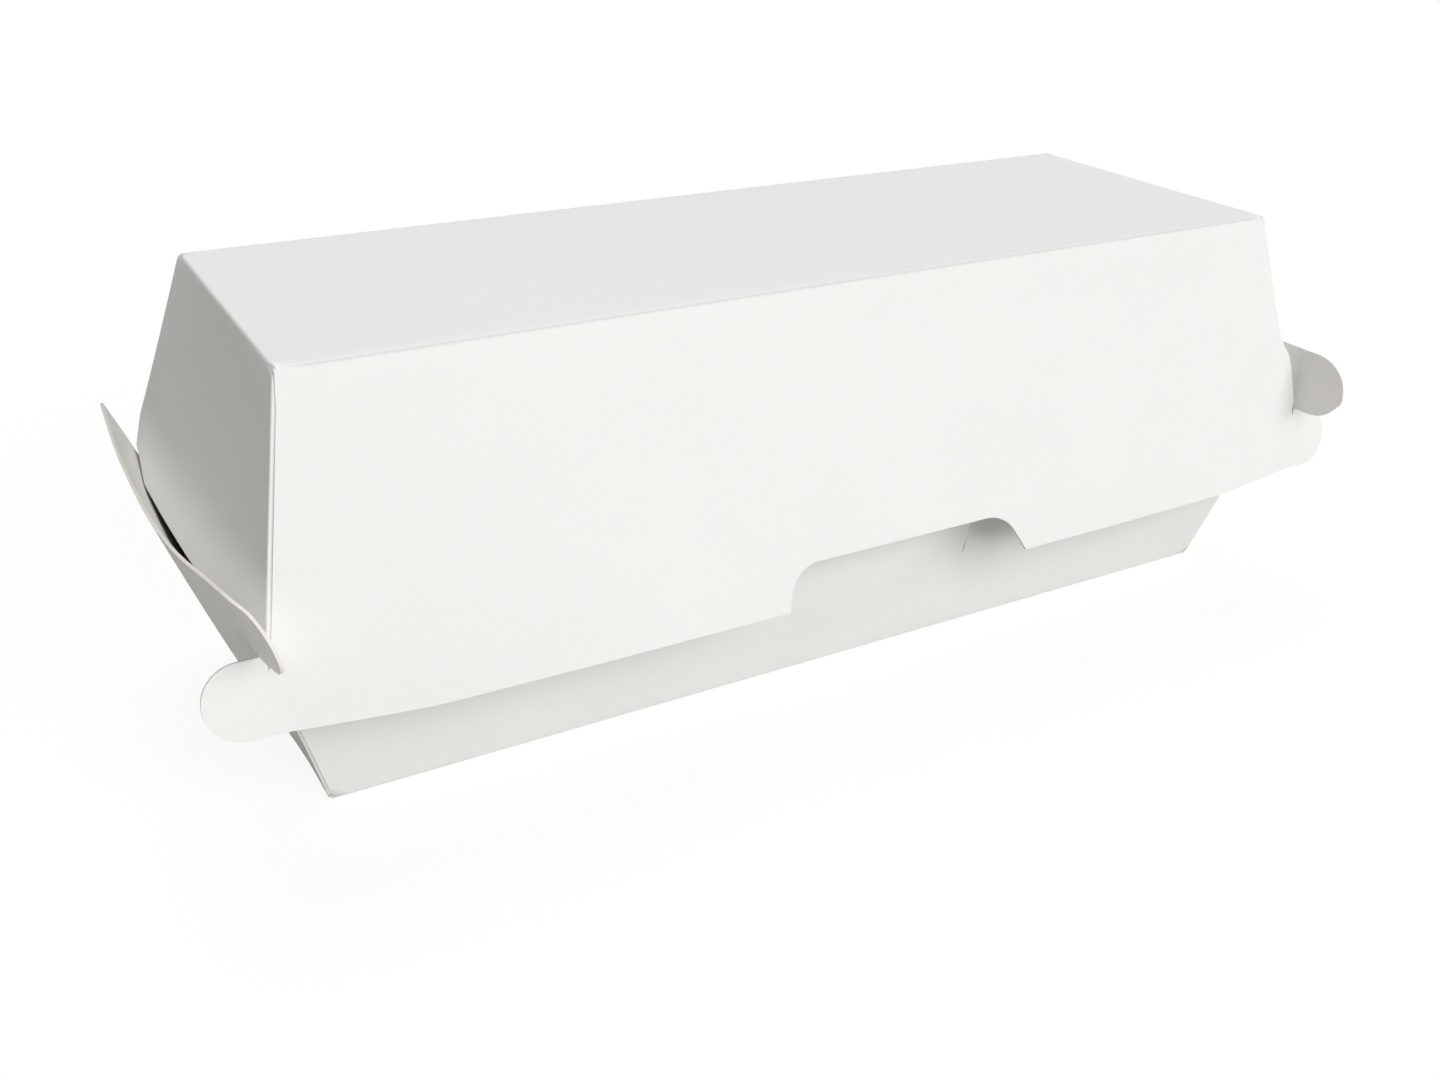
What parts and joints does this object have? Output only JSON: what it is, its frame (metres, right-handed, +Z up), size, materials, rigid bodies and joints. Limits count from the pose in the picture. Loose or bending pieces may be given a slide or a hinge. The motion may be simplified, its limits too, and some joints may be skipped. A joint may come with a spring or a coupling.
{
  "type": "takeout food box",
  "caption": "Long hinged paperboard box for a hot snack: a tray with leaning walls and a lid that folds over it, held shut by interlocking ears on the front corners.",
  "frame": {"origin": "middle of the tray's underside, on the surface it stands on", "axes": "+X along the box to the right as seen from the front, +Y to the hinge at the back, +Z up"},
  "size_m": [0.2276, 0.0897, 0.0753],
  "materials": {
    "white_board": "matt white coated board"
  },
  "bodies": {
    "tray": {"tray": "white_board", "left_lock_ear": "white_board", "right_lock_ear": "white_board"},
    "lid": {"lid": "white_board"}
  },
  "joints": [
    {"name": "lid_hinge", "type": "hinge", "parent": "tray", "child": "lid", "pos_m": [0, 0.03928, 0.0446], "axis": [-1, 0, 0], "range_deg": [0, 180], "deforming": ["left_lock_ear", "right_lock_ear"]}
  ]
}
